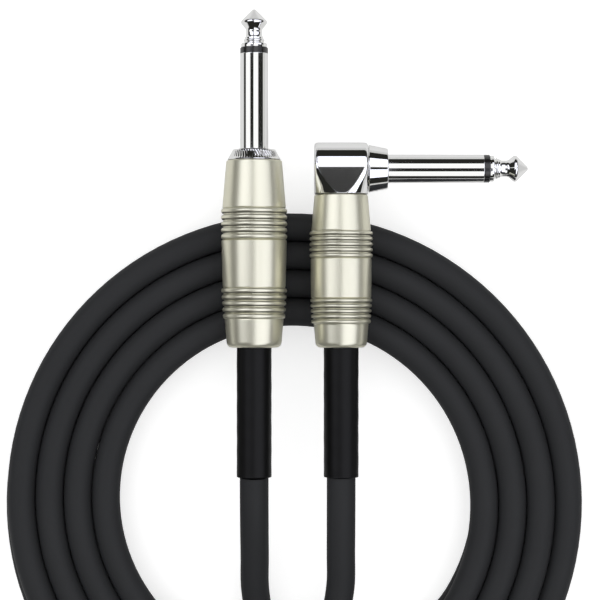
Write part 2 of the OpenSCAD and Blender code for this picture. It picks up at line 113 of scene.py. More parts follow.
# Barrels, as distances from their front edge: the diameters of the plain stretches in front of the
# ribs, between them and behind them, then the ribs, the rounded edges and the bore
STRAIGHT_BARREL = {
    "front": (12.6, 14.3), "middle": (14.7, 14.15), "rear": (13.2, 12.4),
    "ribs_at": (11.4, 29.3), "pitch": (1.45, 1.43), "crests": ((14.9, 14.9), (14.8, 14.1)),
    "front_edge": 0.35, "rear_edge": 1.2, "bore_r": 5.06,
}
ANGLE_BARREL = {
    "front": (12.1, 13.4), "middle": (13.7, 13.6), "rear": (12.3, 11.6),
    "ribs_at": (8.7, 23.8), "pitch": (1.25, 1.18), "crests": ((14.25, 14.25), (13.95, 13.45)),
    "front_edge": 0.35, "rear_edge": 1.1, "bore_r": 4.96,
}
BARREL_STEPS = 144
RIB_HALF_WIDTH = 0.42
RIB_MARGIN = 0.6

# Painted shade on a rib, darkest on its rear wall where shade falls in the groove, every 15 degrees from
# its front foot over the crest to its rear foot, and how dark
RIB_PAINTED_SHADE = (0.1, 0.2, 0.35, 0.35, 0.15, 0, 0, 0, 0.45, 0.9, 1, 0.8, 0.2)
LAST_RIB_PAINTED_SHADE = 0.35
PAINTED_SHADE_LEVEL = 0.2

# Free routes of the cable between the sleeves and the coil
STRAIGHT_ROUTE = [
    (-9.2, -48, 20.6), (-9.2, -56, 19.4), (-9.2, -66, 14.6), (-9.1, -76, 8.7), (-7, -85, 4.6),
    (-1.1, -91.4, 3.3), (8.2, -94.5, 3.3), (17.9, -93, 3.3),
]
ANGLE_ROUTE = [
    (10.4, -48, 20.3), (10.4, -56, 19.8), (10.4, -65, 17.6), (10.3, -74, 14.8), (8.2, -82.7, 12.2),
    (2.1, -89.2, 10.6), (-6.3, -91.8, 9.9), (-15.3, -90.8, 9.8),
]

# The coil, with angles in degrees: where its layers meet, how long it climbs between them, the step
# from point to point, and how far each end turns in
COIL_CENTRE = (-1.6, -54.47)
TURN_BACK = -30
CLIMB = 180
COIL_STEP = 15
END_TURN = 15

# Points on each stretch of the cable, steps round turned pieces and threads, and rows to a thread
LINE_PIECES = 5
ROUND_STEPS = 96
THREAD_STEPS = 72
THREAD_ROWS = 10

# What polished metal mirrors, as limits to the x and y of the direction looked in
STRAIGHT_JACK_Y = (0.072, 0.13)
ANGLE_JACK_X = (0.044, 0.104)
TOP_FLAG_X = (-0.005, 0.043)
TOP_FLAG_Y = (0.029, 0.0725)
COLLAR_FLAG_X = (0.385, 0.455)
COLLAR_FLAG_Y = (-0.12, 0.14)
SHOULDER_X = (-0.03, -0.004)
SHOULDER_Y = 0.055
TIP_Y = 0.35
END_X = (-0.54, 0.54)

# Angles in degrees: where the soft boxes end, and how far those of the right-angle jack are turned
BOX_END = 52
BOX_TURN = 4.5

# Light: the sky at the horizon and what it gains upwards, and the floor's own where it is seen
SKY_RIM = 0.2
SKY_RISE = 1.6
FLOOR_SEEN = 0.55
FLOOR_MIRRORED = 0.05


# ---- Sizes and finishes that a user would change ----


def size(title, description, default):
    """A length that a user can change, in metres."""
    return FloatProperty(name=title, description=description, default=default, unit="LENGTH")


def colour(title, description, default):
    """A colour that a user can change."""
    return FloatVectorProperty(name=title, description=description, default=default, subtype="COLOR",
                               size=4, min=0, max=1)


class JackSizes(bpy.types.PropertyGroup):
    shaft_diameter: size("Shaft Diameter", "Diameter of each jack's shaft", 0.00635)
    shaft_length: size("Shaft Length", "Length from the shoulder to the insulating ring", 0.0216)
    ring_length: size("Ring Length", "Length of the insulating ring", 0.0013)
    jack_length: size("Jack Length", "Length from the shoulder to the very tip", 0.0316)
    tip_diameter: size("Tip Diameter", "Widest diameter of the tip", 0.00596)
    neck_diameter: size("Neck Diameter", "Narrowest diameter of the tip's neck", 0.0037)
    thread_pitch: size("Thread Pitch", "Pitch of the barrel threads", 0.00075)
    thread_depth: size("Thread Depth", "Depth of the barrel threads", 0.0004)


class BarrelSizes(bpy.types.PropertyGroup):
    straight_length: size("Straight Barrel Length", "Length of the straight plug's barrel", 0.0421)
    angle_length: size("Angle Barrel Length", "Length of the right-angle plug's barrel", 0.0344)
    rib_count: IntProperty(name="Ribs", description="Number of ribs in a group", default=5, min=2)
    rib_depth: size("Rib Depth", "Depth of the grooves between the ribs", 0.0005)


class CableSizes(bpy.types.PropertyGroup):
    diameter: size("Cable Diameter", "Diameter of the cable's jacket", 0.0065)
    coil_radius: size(
        "Coil Radius", "Radius of the widest turn, along the middle of the cable", 0.0653)
    lower_wind: FloatProperty(
        name="Lower Layer", description="Angle wound in the lower layer",
        default=math.radians(1095), subtype="ANGLE")
    upper_wind: FloatProperty(
        name="Upper Layer", description="Angle wound in the upper layer",
        default=math.radians(1335), subtype="ANGLE")
    length: size("Cable Length", "Length of the cable between the two sleeves", 2.463)
    sleeve_diameter: size("Sleeve Diameter", "Diameter of the heat-shrink sleeves", 0.0079)


class Finishes(bpy.types.PropertyGroup):
    chrome: colour("Chrome", "Colour of the polished metal", (0.93, 0.93, 0.92, 1))
    nickel: colour("Satin Nickel", "Colour of the barrels", (0.83, 0.81, 0.65, 1))
    jacket: colour("Jacket", "Colour of the cable's jacket", (0.0265, 0.0272, 0.029, 1))
    sleeve: colour("Sleeve", "Colour of the heat-shrink sleeves", (0.003, 0.003, 0.003, 1))


class StageSettings(bpy.types.PropertyGroup):
    camera_height: size("Camera Height", "Height of the camera above the table", 0.4696)
    camera_y: size("Camera Y", "Place of the camera along Y", -0.0081)
    lens: FloatProperty(
        name="Lens", description="Focal length of the camera", default=119.6, unit="CAMERA")
    floor_size: size("Floor Size", "Width of the floor", 6)
    level: FloatProperty(
        name="Light Level", description="Strength of the soft light all round", default=1.0, min=0)


class InstrumentCable(bpy.types.PropertyGroup):
    jack: PointerProperty(type=JackSizes, name="Jacks", description="Sizes of both jacks")
    barrel: PointerProperty(type=BarrelSizes, name="Barrels", description="Sizes of both barrels")
    cable: PointerProperty(type=CableSizes, name="Cable", description="Sizes of the cable and its coil")
    finish: PointerProperty(type=Finishes, name="Finishes", description="Colours of the finishes")
    stage: PointerProperty(type=StageSettings, name="Stage", description="Camera, floor and light")


# ---- Outlines, as (distance along the axis, radius) in millimetres ----


def arc(x, y, r, a, b, steps):
    """Points on an arc from angle a to angle b, in degrees."""
    turns = [math.radians(a + (b - a) * i / steps) for i in range(steps + 1)]
    return [(x + r * math.cos(t), y + r * math.sin(t)) for t in turns]


def blend(a, b, t):
    return a + (b - a) * t


def smooth(t):
    t = min(max(t, 0.0), 1.0)
    return t * t * (3 - 2 * t)


def filleted(points, steps=6):
    """Outline through (distance, radius, fillet) corners, with a support point beside each fillet."""
    made = []
    last = len(points) - 1
    for i, (x, y, r) in enumerate(points):
        here = Vector((x, y))
        if r == 0 or i in (0, last):
            made.append((x, y))
            continue
        before = Vector(points[i - 1][:2]) - here
        after = Vector(points[i + 1][:2]) - here
        half = before.angle(after) / 2
        reach = min(r / math.tan(half), 0.45 * before.length, 0.45 * after.length)
        before.normalize()
        after.normalize()
        start, end = here + before * reach, here + after * reach
        made.append(tuple(start + before * reach * 0.12))
        for k in range(steps + 1):
            t = k / steps
            made.append(tuple(start * (1 - t) ** 2 + here * 2 * t * (1 - t) + end * t * t))
        made.append(tuple(end + after * reach * 0.12))
    return made


def ring_point(place, r, t, z):
    """The point of a turned piece at radius r, angle t and distance z."""
    return place @ Vector((r * math.cos(t) * MM, r * math.sin(t) * MM, z * MM))


def lathe(name, outline, place, closed=False, around=ROUND_STEPS, sharp=38, reshape=None):
    """A mesh turned about the local Z axis, closed at radius 0 or round a bore."""
    verts, rings = [], []
    for z, r in outline:
        if r < 1e-6:
            rings.append([len(verts)])
            verts.append(place @ Vector((0, 0, z * MM)))
            continue
        ring = []
        for k in range(around):
            t = 2 * math.pi * k / around
            out = r if reshape is None else reshape(z, r, t)
            ring.append(len(verts))
            verts.append(ring_point(place, out, t, z))
        rings.append(ring)
    faces = []
    pairs = list(zip(rings, rings[1:])) + ([(rings[-1], rings[0])] if closed else [])
    for a, b in pairs:
        for k in range(around):
            m = (k + 1) % around
            if len(a) == 1:
                faces.append((a[0], b[m], b[k]))
            elif len(b) == 1:
                faces.append((a[k], a[m], b[0]))
            else:
                faces.append((a[k], a[m], b[m], b[k]))
    return mesh_piece(name, verts, faces, sharp)


def mesh_piece(name, verts, faces, sharp=38):
    """An object with smooth faces, whose edges over the sharp angle stay sharp."""
    mesh = bpy.data.meshes.new(name)
    mesh.from_pydata(verts, [], faces)
    mesh.validate()
    mesh.update()
    mesh.polygons.foreach_set("use_smooth", [True] * len(mesh.polygons))
    mesh.set_sharp_from_angle(angle=math.radians(sharp))
    piece = bpy.data.objects.new(name, mesh)
    bpy.context.scene.collection.objects.link(piece)
    return piece


def dress(piece, material, body, slot, *nodes):
    """Gives a piece its material, sets it on a body, and hides the CAD nodes it stands for. The slot is
    not used.
    """
    piece.data.materials.append(material)
    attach(piece, body)
    if nodes:
        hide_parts(*nodes)
    return piece


# ---- Materials ----


def node(tree, kind, place=(0, 0), **settings):
    made = tree.nodes.new(kind)
    made.location = place
    for key, value in settings.items():
        setattr(made, key, value)
    return made


def maths(tree, operation, *values):
    """The output of a math node fed with numbers or sockets."""
    made = node(tree, "ShaderNodeMath", operation=operation)
    for socket, value in zip(made.inputs, values):
        if isinstance(value, (int, float)):
            socket.default_value = value
        else:
            tree.links.new(value, socket)
    return made.outputs[0]


def group_tree(name, inputs, outputs):
    """An empty shader node group with float or vector sockets."""
    tree = bpy.data.node_groups.new(name, "ShaderNodeTree")
    for title, kind, default in inputs:
        socket = tree.interface.new_socket(title, in_out="INPUT", socket_type=kind)
        if default is not None:
            socket.default_value = default
    for title, kind in outputs:
        tree.interface.new_socket(title, in_out="OUTPUT", socket_type=kind)
    return tree, node(tree, "NodeGroupInput", (-800, 0)), node(tree, "NodeGroupOutput", (600, 0))


def grain_group():
    """Fine even grain with a broader clouding: a mask from 0 to 1 and a height."""
    name = "fine_grain"
    if name in bpy.data.node_groups:
        return bpy.data.node_groups[name]
    tree, into, out = group_tree(
        name,
        [("Vector", "NodeSocketVector", None), ("Grain Scale", "NodeSocketFloat", 3000.0),
         ("Cloud Scale", "NodeSocketFloat", 120.0)],
        [("Mask", "NodeSocketFloat"), ("Height", "NodeSocketFloat")])
    link = tree.links.new
    grain = node(tree, "ShaderNodeTexNoise", (-500, 150))
    cloud = node(tree, "ShaderNodeTexNoise", (-500, -150))
    grain.inputs["Detail"].default_value = 2
    cloud.inputs["Detail"].default_value = 3
    link(into.outputs["Vector"], grain.inputs["Vector"])
    link(into.outputs["Vector"], cloud.inputs["Vector"])
    link(into.outputs["Grain Scale"], grain.inputs["Scale"])
    link(into.outputs["Cloud Scale"], cloud.inputs["Scale"])
    mask = node(tree, "ShaderNodeMath", (-150, 0), operation="MULTIPLY_ADD", use_clamp=True)
    link(grain.outputs["Fac"], mask.inputs[0])
    mask.inputs[1].default_value = 0.5
    half = node(tree, "ShaderNodeMath", (-320, -150), operation="MULTIPLY")
    link(cloud.outputs["Fac"], half.inputs[0])
    half.inputs[1].default_value = 0.5
    link(half.outputs[0], mask.inputs[2])
    link(mask.outputs[0], out.inputs["Mask"])
    link(grain.outputs["Fac"], out.inputs["Height"])
    return tree


def streak_group():
    """Marks drawn out along one axis, such as those of drawing or turning: a mask and a height."""
    name = "drawn_marks"
    if name in bpy.data.node_groups:
        return bpy.data.node_groups[name]
    tree, into, out = group_tree(
        name,
        [("Vector", "NodeSocketVector", None), ("Across", "NodeSocketFloat", 3000.0),
         ("Along", "NodeSocketVector", (1.0, 0.02, 1.0))],
        [("Mask", "NodeSocketFloat"), ("Height", "NodeSocketFloat")])
    link = tree.links.new
    drawn = node(tree, "ShaderNodeVectorMath", (-550, 0), operation="MULTIPLY")
    link(into.outputs["Vector"], drawn.inputs[0])
    link(into.outputs["Along"], drawn.inputs[1])
    noise = node(tree, "ShaderNodeTexNoise", (-300, 0))
    noise.inputs["Detail"].default_value = 3
    link(drawn.outputs[0], noise.inputs["Vector"])
    link(into.outputs["Across"], noise.inputs["Scale"])
    link(noise.outputs["Fac"], out.inputs["Mask"])
    link(noise.outputs["Fac"], out.inputs["Height"])
    return tree


def finish_material(name, low, high, rough, bump, metallic=0.0, tree=None, values=(),
                    bump_distance=0.02):
    """A Principled material whose colour, roughness and bump follow one of the shared groups."""
    if name in bpy.data.materials:
        return bpy.data.materials[name]
    material = bpy.data.materials.new(name)
    material.use_nodes = True
    nodes = material.node_tree
    link = nodes.links.new
    shader = nodes.nodes["Principled BSDF"]
    shader.inputs["Metallic"].default_value = metallic
    place = node(nodes, "ShaderNodeTexCoord", (-900, 0))
    effect = node(nodes, "ShaderNodeGroup", (-680, 0))
    effect.node_tree = tree or grain_group()
    for title, value in values:
        effect.inputs[title].default_value = value
    link(place.outputs["Object"], effect.inputs["Vector"])
    colour = node(nodes, "ShaderNodeMix", (-400, 150), data_type="RGBA")
    colour.inputs["A"].default_value = low
    colour.inputs["B"].default_value = high
    link(effect.outputs["Mask"], colour.inputs["Factor"])
    link(colour.outputs["Result"], shader.inputs["Base Color"])
    roughness = node(nodes, "ShaderNodeMapRange", (-400, -100))
    roughness.inputs["To Min"].default_value = rough[0]
    roughness.inputs["To Max"].default_value = rough[1]
    link(effect.outputs["Mask"], roughness.inputs["Value"])
    link(roughness.outputs["Result"], shader.inputs["Roughness"])
    if bump > 0:
        relief = node(nodes, "ShaderNodeBump", (-400, -350))
        relief.inputs["Strength"].default_value = bump
        relief.inputs["Distance"].default_value = bump_distance * MM
        link(effect.outputs["Height"], relief.inputs["Height"])
        link(relief.outputs["Normal"], shader.inputs["Normal"])
    return material


def shade(colour, amount):
    return tuple(min(1.0, c * amount) for c in colour[:3]) + (1.0,)


def chrome(finish):
    return finish_material("polished_chrome", shade(finish.chrome, 0.97), shade(finish.chrome, 1.03),
                           (0.02, 0.045), 0, 1.0,
                           values=[("Grain Scale", 2500.0), ("Cloud Scale", 150.0)])


def satin_nickel(finish):
    """Satin metal, darkened by painted shade where a piece's painted shade attribute is over 0."""
    material = finish_material("barrel_nickel", shade(finish.nickel, 0.96), shade(finish.nickel, 1.04),
                               (0.29, 0.36), 0.2, 0.8,
                               values=[("Grain Scale", 6000.0), ("Cloud Scale", 90.0)])
    tree = material.node_tree
    colour = tree.nodes["Principled BSDF"].inputs["Base Color"]
    unshaded = colour.links[0].from_socket
    # Painted shade: the colour is darkened on the ribs' rear walls and in the grooves, where shade
    # falls.
    painted_shade = node(tree, "ShaderNodeAttribute", (-400, 350), attribute_name="painted_shade")
    with_painted_shade = node(tree, "ShaderNodeMix", (-180, 250), data_type="RGBA")
    tree.links.new(painted_shade.outputs["Fac"], with_painted_shade.inputs["Factor"])
    tree.links.new(unshaded, with_painted_shade.inputs["A"])
    with_painted_shade.inputs["B"].default_value = shade(finish.nickel, PAINTED_SHADE_LEVEL)
    tree.links.new(with_painted_shade.outputs["Result"], colour)
    return material


def turned_metal(finish):
    return finish_material("turned_thread_metal", shade(finish.chrome, 0.85), shade(finish.chrome, 0.98),
                           (0.12, 0.3), 0.2, 1.0, streak_group(),
                           [("Across", 4000.0), ("Along", (0.05, 1.0, 0.05))])


def black_plastic():
    material = finish_material("ring_plastic", (0.008, 0.008, 0.008, 1), (0.016, 0.016, 0.016, 1),
                               (0.07, 0.13), 0.05, values=[("Grain Scale", 4000.0)])
    material.node_tree.nodes["Principled BSDF"].inputs["IOR"].default_value = 1.65
    return material


def cable_jacket(finish):
    material = finish_material("cord_jacket", shade(finish.jacket, 0.8), shade(finish.jacket, 1.25),
                               (0.46, 0.6), 0.5, values=[("Grain Scale", 5200.0), ("Cloud Scale", 60.0)],
                               bump_distance=0.03)
    material.node_tree.nodes["Principled BSDF"].inputs["Specular IOR Level"].default_value = 0.1
    return material


def heat_shrink(finish):
    material = finish_material("sleeve_shrink", shade(finish.sleeve, 0.8), shade(finish.sleeve, 1.4),
                               (0.36, 0.46), 0.3, values=[("Grain Scale", 900.0), ("Cloud Scale", 60.0)])
    material.node_tree.nodes["Principled BSDF"].inputs["Specular IOR Level"].default_value = 0.2
    return material


def inner_material(slot):
    """Materials of the pieces inside the barrels."""
    kinds = {
        "lug_metal": ((0.62, 0.52, 0.33, 1), (0.75, 0.66, 0.45, 1), (0.2, 0.38), 0.3, 1.0),
        "washer_fibre": ((0.62, 0.55, 0.42, 1), (0.74, 0.68, 0.55, 1), (0.6, 0.8), 0.5, 0.0),
        "liner_plastic": ((0.045, 0.05, 0.055, 1), (0.07, 0.075, 0.08, 1), (0.4, 0.55), 0.3, 0.0),
        "core_plastic": ((0.7, 0.66, 0.55, 1), (0.8, 0.76, 0.66, 1), (0.35, 0.5), 0.2, 0.0),
        "copper": ((0.5, 0.22, 0.12, 1), (0.7, 0.38, 0.22, 1), (0.22, 0.4), 0.6, 1.0),
    }
    low, high, rough, bump, metallic = kinds[slot]
    if slot == "copper":
        return finish_material("bare_copper", low, high, rough, bump, metallic, streak_group(),
                               [("Across", 5000.0), ("Along", (1.0, 0.08, 1.0))])
    return finish_material("inner_" + slot, low, high, rough, bump, metallic)


# ---- Jack outlines ----


def tip_outline(jack, shoulder, rod_end):
    """Rivet head, rod, base, waist, bead, neck and pointed head of a jack's tip."""
    base = shoulder + (jack.shaft_length + jack.ring_length) / MM + 0.03
    top = shoulder + jack.jack_length / MM
    neck_r = jack.neck_diameter / 2 / MM
    tip_r = jack.tip_diameter / 2 / MM
    return (
        [(rod_end - 0.6, 0), (rod_end - 0.6, 1.2)]
        + arc(rod_end - 0.3, 1.3, 0.3, 180, 90, 5)
        + [(rod_end, 1.6), (rod_end, ROD_R), (base, ROD_R), (base, 2.85), (base + 0.05, 2.93)]
        + arc(base + 0.7, 2.6, 0.35, 90, 0, 10)
        + [(base + 1.07, 2.35), (base + 1.1, 2.14), (base + 1.18, 2.1), (base + 1.28, 2.14)]
        + arc(base + 1.6, 2.1, 0.3, 140, 10, 12)
        + arc(base + 2.92, neck_r + 1, 1, 225, 270, 10)
        + arc(base + 3.75, neck_r + 1, 1, 270, 309, 10)
        + arc(base + 5.72, tip_r - 0.62, 0.62, 129, 45, 16)
        + arc(top - 0.7, 0, 0.7, 45, 0, 10)
    )


def insulator_outline(jack, shoulder, bush_end):
    """Black ring behind the tip, and the bush that lines the shaft."""
    start = shoulder + jack.shaft_length / MM + 0.03
    end = start + jack.ring_length / MM - 0.03
    r = jack.shaft_diameter / 2 / MM
    return filleted([
        (bush_end, BUSH_BORE_R, 0), (bush_end, BUSH_R, 0.05), (start, BUSH_R, 0),
        (start, r - 0.02, 0.12), (end, r - 0.02, 0.16), (end, BUSH_BORE_R, 0),
    ], 4)


# ---- Operators, one for each piece or group of like pieces ----


def sizes(context):
    return context.scene.instrument_cable


class CABLE_OT_camera(bpy.types.Operator):
    """Sets the camera straight above the plugs"""

    bl_idname = "instrument_cable.camera"
    bl_label = "Camera"

    def execute(self, context):
        stage = sizes(context).stage
        camera = bpy.data.cameras.new("camera")
        camera.lens = stage.lens
        camera.sensor_width = 36
        camera.clip_start = 0.01
        camera.clip_end = 20
        eye = bpy.data.objects.new("camera", camera)
        eye.location = (0, stage.camera_y, stage.camera_height)
        context.scene.collection.objects.link(eye)
        context.scene.camera = eye
        return {"FINISHED"}


def coil_point(cable, a):
    """Middle of the cable at winding angle a, below 0 in the lower layer and above 0 in the upper."""
    d = cable.diameter / MM
    r = cable.coil_radius / MM - d * abs(a) / 360
    t = math.radians(TURN_BACK + a)
    height = blend(d / 2, 1.5 * d, smooth(0.5 + a / CLIMB))
    return (COIL_CENTRE[0] + r * math.cos(t), COIL_CENTRE[1] + r * math.sin(t), height)


def run_out(cable, a, way):
    """The point one diameter past an end of the coil, on a line turned towards the middle."""
    here, near = Vector(coil_point(cable, a)), Vector(coil_point(cable, a - way))
    line = here - near
    line.z = 0
    line.normalize()
    line.rotate(Matrix.Rotation(math.radians(END_TURN), 3, "Z"))
    return tuple(here + line * cable.diameter / MM)


def cable_path(cable):
    """Points all along the cable, from the straight plug's sleeve to the right-angle plug's."""
    lower, upper = math.degrees(cable.lower_wind), math.degrees(cable.upper_wind)
    count = round((lower + upper) / COIL_STEP) + 1
    around = [coil_point(cable, -lower + COIL_STEP * i) for i in range(count)]
    line = (STRAIGHT_ROUTE + [run_out(cable, -lower, -1)] + around
            + [run_out(cable, upper, 1)] + ANGLE_ROUTE[::-1])
    return smooth_line([Vector(p) for p in line], LINE_PIECES)


def smooth_line(points, pieces):
    """Points on a centripetal Catmull-Rom line through the given ones."""
    ends = [2 * points[0] - points[1]] + points + [2 * points[-1] - points[-2]]
    made = []
    for a, b, c, d in zip(ends, ends[1:], ends[2:], ends[3:]):
        t1 = (b - a).length ** 0.5
        t2 = t1 + (c - b).length ** 0.5
        t3 = t2 + (d - c).length ** 0.5
        for i in range(pieces):
            t = blend(t1, t2, i / pieces)
            ab = a.lerp(b, t / t1)
            bc = b.lerp(c, (t - t1) / (t2 - t1))
            cd = c.lerp(d, (t - t2) / (t3 - t2))
            abc = ab.lerp(bc, t / t2)
            bcd = bc.lerp(cd, (t - t1) / (t3 - t1))
            made.append(abc.lerp(bcd, (t - t1) / (t2 - t1)))
    return made + [points[-1]]


class CABLE_OT_cord(bpy.types.Operator):
    """Winds the cable from one plug's sleeve round the coil to the other's"""

    bl_idname = "instrument_cable.cord"
    bl_label = "Cable"

    def execute(self, context):
        cable = sizes(context).cable
        points = cable_path(cable)
        curve = bpy.data.curves.new("cable", "CURVE")
        curve.dimensions = "3D"
        curve.bevel_depth = cable.diameter / 2
        curve.bevel_resolution = 7
        curve.use_fill_caps = True
        curve.twist_mode = "MINIMUM"
        spline = curve.splines.new("POLY")
        spline.points.add(len(points) - 1)
        for target, p in zip(spline.points, points):
            target.co = (p.x * MM, p.y * MM, p.z * MM, 1)
        spline.use_smooth = True
        piece = bpy.data.objects.new("cable", curve)
        context.scene.collection.objects.link(piece)
        dress(piece, cable_jacket(sizes(context).finish), "cable", "cable_jacket",
              "straight_lead", "coil", "angle_lead")
        return {"FINISHED"}


def shrink_ripple(outer_r, phase):
    """Low waves on a sleeve's outside, as shrinking leaves them."""
    def shape(z, r, t):
        if r < outer_r - 0.01:
            return r
        waves = math.sin(1.3 * z + 2 * t + phase) + 0.6 * math.sin(0.55 * z - t)
        return r - 0.03 + 0.018 * waves
    return shape


class CABLE_OT_sleeves(bpy.types.Operator):
    """Shrinks a sleeve over the cable behind each barrel"""

    bl_idname = "instrument_cable.sleeves"
    bl_label = "Heat-Shrink Sleeves"

    def execute(self, context):
        finish = sizes(context).finish
        r = sizes(context).cable.sleeve_diameter / 2 / MM
        steps = 40
        for side, place, (end, front) in (("straight", ON_STRAIGHT, STRAIGHT_SLEEVE),
                                          ("angle", ON_ANGLE_BARREL, ANGLE_SLEEVE)):
            outside = [(blend(end + 0.35, front - 0.3, i / steps), r) for i in range(steps + 1)]
            outline = (
                [(end + 0.2, SLEEVE_BORE_R), (end, SLEEVE_BORE_R + 0.02)]
                + arc(end + 0.22, r - 0.22, 0.22, 180, 90, 5)
                + outside
                + [(front, r - 0.2), (front, SLEEVE_BORE_R)]
            )
            piece = lathe(side + "_sleeve_skin", outline, place, closed=True, around=64,
                          reshape=shrink_ripple(r, phase=len(side)))
            dress(piece, heat_shrink(finish), "cable", "heat_shrink", side + "_sleeve")
        return {"FINISHED"}


class CABLE_OT_tips(bpy.types.Operator):
    """Turns both tips and the black rings behind them"""

    bl_idname = "instrument_cable.tips"
    bl_label = "Tips and Rings"

    def execute(self, context):
        jack, finish = sizes(context).jack, sizes(context).finish
        for side, place, shoulder, rod_end, bush_end in (
                ("straight", ON_STRAIGHT, 0, STRAIGHT_ROD_END, STRAIGHT_BUSH_END),
                ("angle", ON_ANGLE_JACK, ANGLE_SHOULDER, ANGLE_ROD_END, ANGLE_STUB_END)):
            tip = lathe(side + "_tip_turned", tip_outline(jack, shoulder, rod_end), place, sharp=30)
            dress(tip, chrome(finish), "cable", "jack_chrome", side + "_tip")
            ring = lathe(side + "_ring", insulator_outline(jack, shoulder, bush_end), place, closed=True)
            dress(ring, black_plastic(), "cable", "black_plastic", side + "_tip_insulator")
        return {"FINISHED"}


def thread(name, place, r, jack, z0, z1, inner_r):
    """A screw thread cut round a tube from z0 down to z1."""
    pitch, depth = jack.thread_pitch / MM, jack.thread_depth / MM
    around, rows = THREAD_STEPS, round((z0 - z1) / pitch * THREAD_ROWS)
    verts, faces = [], []
    for j in range(rows + 1):
        z = blend(z0, z1, j / rows)
        ease = min(1.0, (z0 - z) / (0.5 * pitch), (z - z1) / (0.5 * pitch))
        for k in range(around):
            t = 2 * math.pi * k / around
            wave = (z / pitch - k / around) % 1.0
            ridge = min(1.0, max(0.0, 2.6 * (0.5 - abs(wave - 0.5)) - 0.12))
            out = r - depth + depth * ridge * max(0.0, ease)
            verts.append(ring_point(place, out, t, z))
    for j in range(rows):
        for k in range(around):
            m = (k + 1) % around
            faces.append((j * around + k, j * around + m, (j + 1) * around + m, (j + 1) * around + k))
    top, bottom = len(verts), len(verts) + around
    for z in (z0, z1):
        for k in range(around):
            verts.append(ring_point(place, inner_r, 2 * math.pi * k / around, z))
    last = rows * around
    for k in range(around):
        m = (k + 1) % around
        faces.append((top + k, top + m, m, k))
        faces.append((last + k, last + m, bottom + m, bottom + k))
        faces.append((bottom + k, bottom + m, top + m, top + k))
    return mesh_piece(name, verts, faces, 40)


class CABLE_OT_shafts(bpy.types.Operator):
    """Turns both shafts, the fluted cone of the straight one and the collar of the other"""

    bl_idname = "instrument_cable.shafts"
    bl_label = "Shafts"

    def execute(self, context):
        jack, finish = sizes(context).jack, sizes(context).finish
        r, top = jack.shaft_diameter / 2 / MM, jack.shaft_length / MM
        shaft = lathe("straight_shaft_turned", filleted([
            (STRAIGHT_THREAD_END, SHAFT_BORE_R, 0), (top, SHAFT_BORE_R, 0), (top, r, 0.1), (0, r, 0.05),
            (0, 4.6, 0), (-7.2, 4.5, 0), (STRAIGHT_THREAD_END, 4.4, 0),
        ]), ON_STRAIGHT, closed=True, around=128)
        dress(shaft, chrome(finish), "cable", "jack_chrome", "straight_shaft")
        face = [(blend(CONE_FRONT[0], CONE_BACK[0], i / 12), blend(CONE_FRONT[1], CONE_BACK[1], i / 12),
                 0) for i in range(13)]
        cone = lathe("straight_cone", filleted([
            (-0.02, r - 0.1, 0), (-0.02, 4.78, 0.12), *face, (-2.25, 6, 0.08), (-2.4, 5.95, 0.05),
            (-2.4, 4.4, 0),
        ]), ON_STRAIGHT, closed=True, around=FLUTES * FLUTE_STEPS, reshape=flute_shape)
        dress(cone, chrome(finish), "cable", "jack_chrome")
        body_thread = thread("straight_thread", ON_STRAIGHT, STRAIGHT_THREAD_R, jack,
                             STRAIGHT_THREAD_START, STRAIGHT_THREAD_END, 4.2)
        dress(body_thread, turned_metal(finish), "cable", "jack_chrome")

        start, end = ANGLE_COLLAR_START, ANGLE_SHOULDER
        angle = lathe("angle_shaft_turned", filleted([
            (ANGLE_STUB_END, SHAFT_BORE_R, 0), (end + top, SHAFT_BORE_R, 0), (end + top, r, 0.1),
            (end, r, 0.08), (end, 4.5, 0.25), (start, 5.36, 0.15), (start, 4, 0),
            (ANGLE_STUB_END, 4, 0),
        ]), ON_ANGLE_JACK, closed=True, around=128)
        dress(angle, chrome(finish), "cable", "jack_chrome", "angle_shaft")
        return {"FINISHED"}


def flute_shape(z, r, t):
    """Fine slanted flutes on the cone, fading out at both of its edges."""
    if r < 4.85 or z < -2.3:
        return r
    edge = smooth((CONE_FRONT[0] - z) / 0.3) * smooth((z - CONE_BACK[0]) / 0.3)
    wave = 0.5 - 0.5 * math.cos(FLUTES * (t + FLUTE_TWIST * z))
    return r - FLUTE_DEPTH * edge * wave


def head_depth(x, h, z):
    """How far a point is outside the right-angle head, whose barrel axis runs along h."""
    side = abs(x) - HEAD_SIDE
    arch = (math.hypot(h, z) if h > 0 else abs(z)) - HEAD_ARCH_R
    cone_r = blend(*HEAD_CONE_R, (h - ANGLE_HEAD_BOTTOM) / -ANGLE_HEAD_BOTTOM)
    cone = HEAD_CONE_COSINE * (math.hypot(x, z) - cone_r)
    arch_edge, cone_edge, bottom_edge = HEAD_EDGES
    block = rounded_max(side, arch, arch_edge)
    return rounded_max(rounded_max(block, cone, cone_edge), ANGLE_HEAD_BOTTOM - h, bottom_edge)


def rounded_max(a, b, r):
    """The larger distance, with a round edge of radius r where both are near 0."""
    if a > -r and b > -r:
        return math.hypot(a + r, b + r) - r
    return max(a, b)


